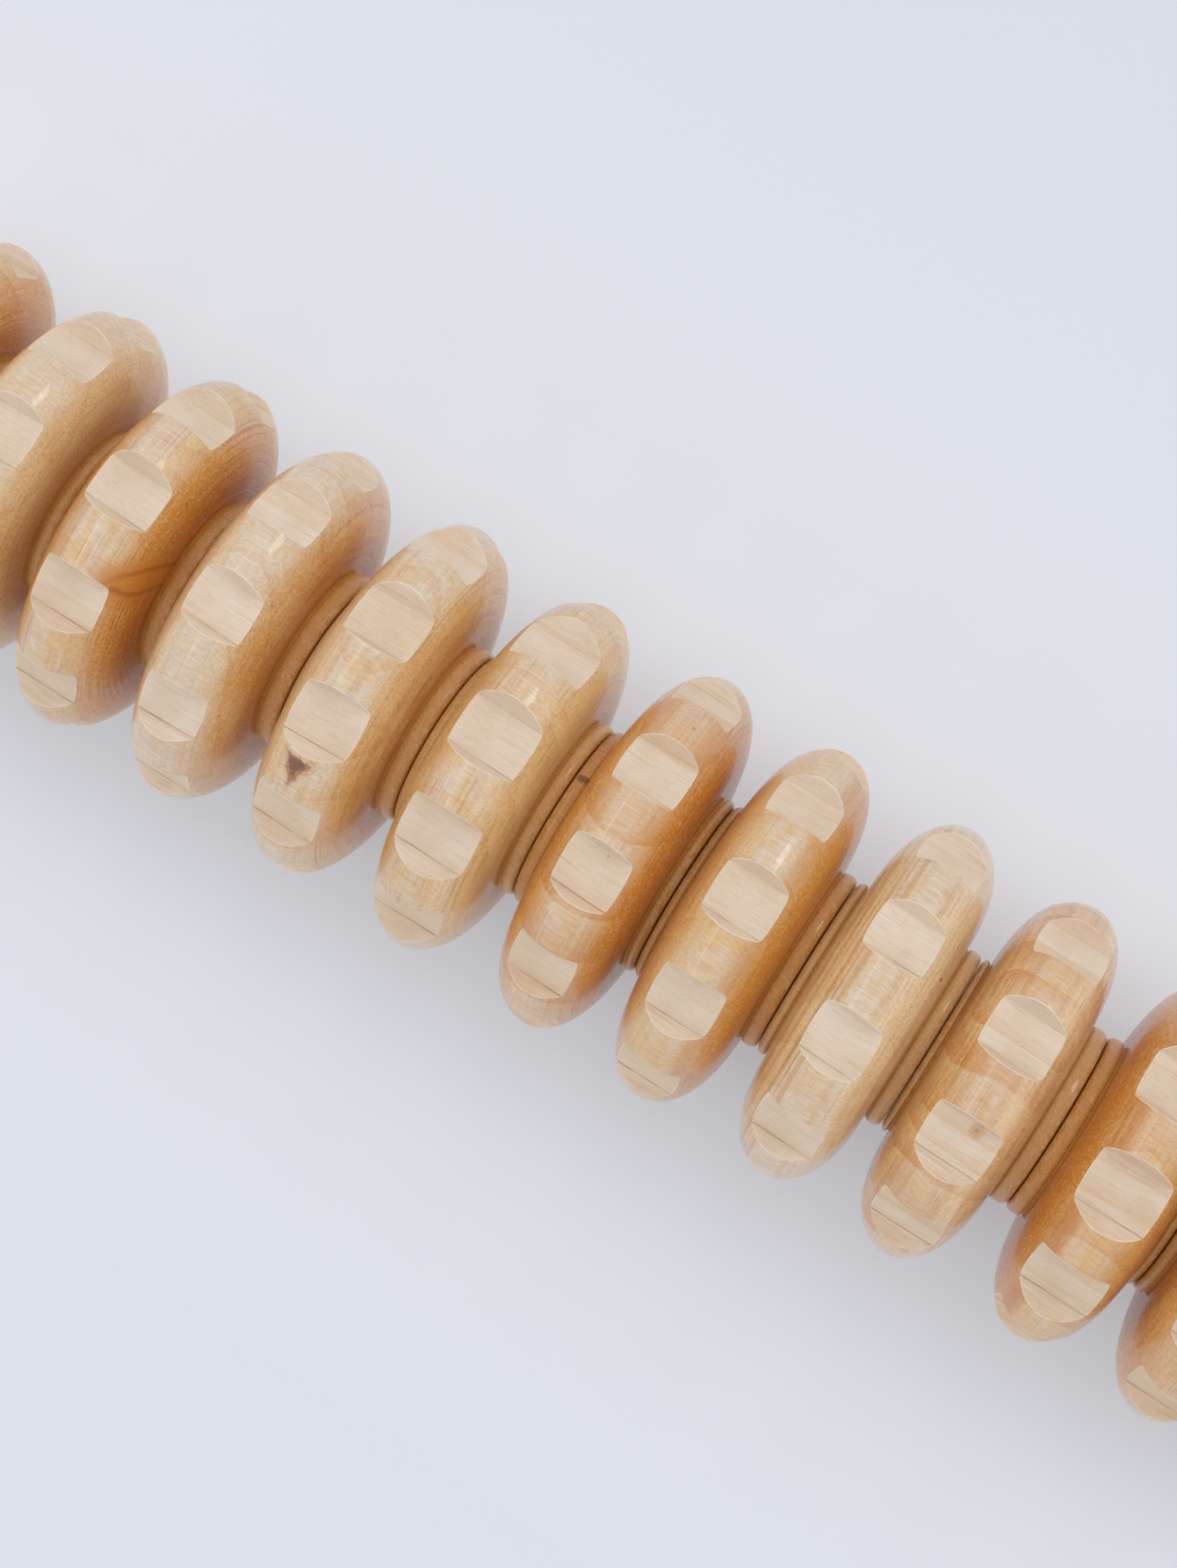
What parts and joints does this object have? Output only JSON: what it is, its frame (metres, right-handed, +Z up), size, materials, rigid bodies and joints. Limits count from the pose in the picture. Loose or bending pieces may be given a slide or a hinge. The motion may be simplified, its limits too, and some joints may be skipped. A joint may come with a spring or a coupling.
{
  "type": "foot massage roller",
  "caption": "Wooden massage roller: a row of loose notched wheels with convex rims on one straight rod, between two turned handles, for rolling under the feet.",
  "frame": {"origin": "on the floor under the middle of the roller, half way between the two handle ends", "axes": "+X along the rod, +Z up from the surface that the wheels stand on, +Y across"},
  "size_m": [0.5, 0.06, 0.06],
  "materials": {
    "wheel_wood_honey": "satin varnish",
    "wheel_wood_pale": "satin varnish",
    "wheel_wood_amber": "satin varnish",
    "handle_wood": "satin varnish",
    "rod_steel": "bright drawn",
    "zinc_plated_steel": "zinc plated",
    "brass": "turned"
  },
  "bodies": {
    "core": {"axle_rod": "rod_steel", "handle_left": "handle_wood", "handle_right": "handle_wood", "lock_nut_left": "zinc_plated_steel", "lock_nut_right": "zinc_plated_steel", "threaded_insert_left": "brass", "threaded_insert_right": "brass"},
    "wheel_01": {"wheel_01": "wheel_wood_honey"},
    "wheel_02": {"wheel_02": "wheel_wood_amber"},
    "wheel_03": {"wheel_03": "wheel_wood_honey"},
    "wheel_04": {"wheel_04": "wheel_wood_honey"},
    "wheel_05": {"wheel_05": "wheel_wood_pale"},
    "wheel_06": {"wheel_06": "wheel_wood_honey"},
    "wheel_07": {"wheel_07": "wheel_wood_honey"},
    "wheel_08": {"wheel_08": "wheel_wood_amber"},
    "wheel_09": {"wheel_09": "wheel_wood_honey"},
    "wheel_10": {"wheel_10": "wheel_wood_honey"},
    "wheel_11": {"wheel_11": "wheel_wood_honey"},
    "wheel_12": {"wheel_12": "wheel_wood_amber"},
    "wheel_13": {"wheel_13": "wheel_wood_amber"},
    "wheel_14": {"wheel_14": "wheel_wood_honey"},
    "thrust_washer_left": {"thrust_washer_left": "zinc_plated_steel"},
    "thrust_washer_right": {"thrust_washer_right": "zinc_plated_steel"}
  },
  "joints": [
    {"name": "wheel_01_spin", "type": "hinge", "parent": "core", "child": "wheel_01", "pos_m": [-0.13975, 0, 0.03], "axis": [1, 0, 0], "continuous": true},
    {"name": "wheel_02_spin", "type": "hinge", "parent": "core", "child": "wheel_02", "pos_m": [-0.11825, 0, 0.03], "axis": [1, 0, 0], "continuous": true},
    {"name": "wheel_03_spin", "type": "hinge", "parent": "core", "child": "wheel_03", "pos_m": [-0.09675, 0, 0.03], "axis": [1, 0, 0], "continuous": true},
    {"name": "wheel_04_spin", "type": "hinge", "parent": "core", "child": "wheel_04", "pos_m": [-0.07525, 0, 0.03], "axis": [1, 0, 0], "continuous": true},
    {"name": "wheel_05_spin", "type": "hinge", "parent": "core", "child": "wheel_05", "pos_m": [-0.05375, 0, 0.03], "axis": [1, 0, 0], "continuous": true},
    {"name": "wheel_06_spin", "type": "hinge", "parent": "core", "child": "wheel_06", "pos_m": [-0.03225, 0, 0.03], "axis": [1, 0, 0], "continuous": true},
    {"name": "wheel_07_spin", "type": "hinge", "parent": "core", "child": "wheel_07", "pos_m": [-0.01075, 0, 0.03], "axis": [1, 0, 0], "continuous": true},
    {"name": "wheel_08_spin", "type": "hinge", "parent": "core", "child": "wheel_08", "pos_m": [0.01075, 0, 0.03], "axis": [1, 0, 0], "continuous": true},
    {"name": "wheel_09_spin", "type": "hinge", "parent": "core", "child": "wheel_09", "pos_m": [0.03225, 0, 0.03], "axis": [1, 0, 0], "continuous": true},
    {"name": "wheel_10_spin", "type": "hinge", "parent": "core", "child": "wheel_10", "pos_m": [0.05375, 0, 0.03], "axis": [1, 0, 0], "continuous": true},
    {"name": "wheel_11_spin", "type": "hinge", "parent": "core", "child": "wheel_11", "pos_m": [0.07525, 0, 0.03], "axis": [1, 0, 0], "continuous": true},
    {"name": "wheel_12_spin", "type": "hinge", "parent": "core", "child": "wheel_12", "pos_m": [0.09675, 0, 0.03], "axis": [1, 0, 0], "continuous": true},
    {"name": "wheel_13_spin", "type": "hinge", "parent": "core", "child": "wheel_13", "pos_m": [0.11825, 0, 0.03], "axis": [1, 0, 0], "continuous": true},
    {"name": "wheel_14_spin", "type": "hinge", "parent": "core", "child": "wheel_14", "pos_m": [0.13975, 0, 0.03], "axis": [1, 0, 0], "continuous": true},
    {"name": "thrust_washer_left_spin", "type": "hinge", "parent": "core", "child": "thrust_washer_left", "pos_m": [-0.15135, 0, 0.03], "axis": [1, 0, 0], "continuous": true},
    {"name": "thrust_washer_right_spin", "type": "hinge", "parent": "core", "child": "thrust_washer_right", "pos_m": [0.15135, 0, 0.03], "axis": [1, 0, 0], "continuous": true}
  ]
}
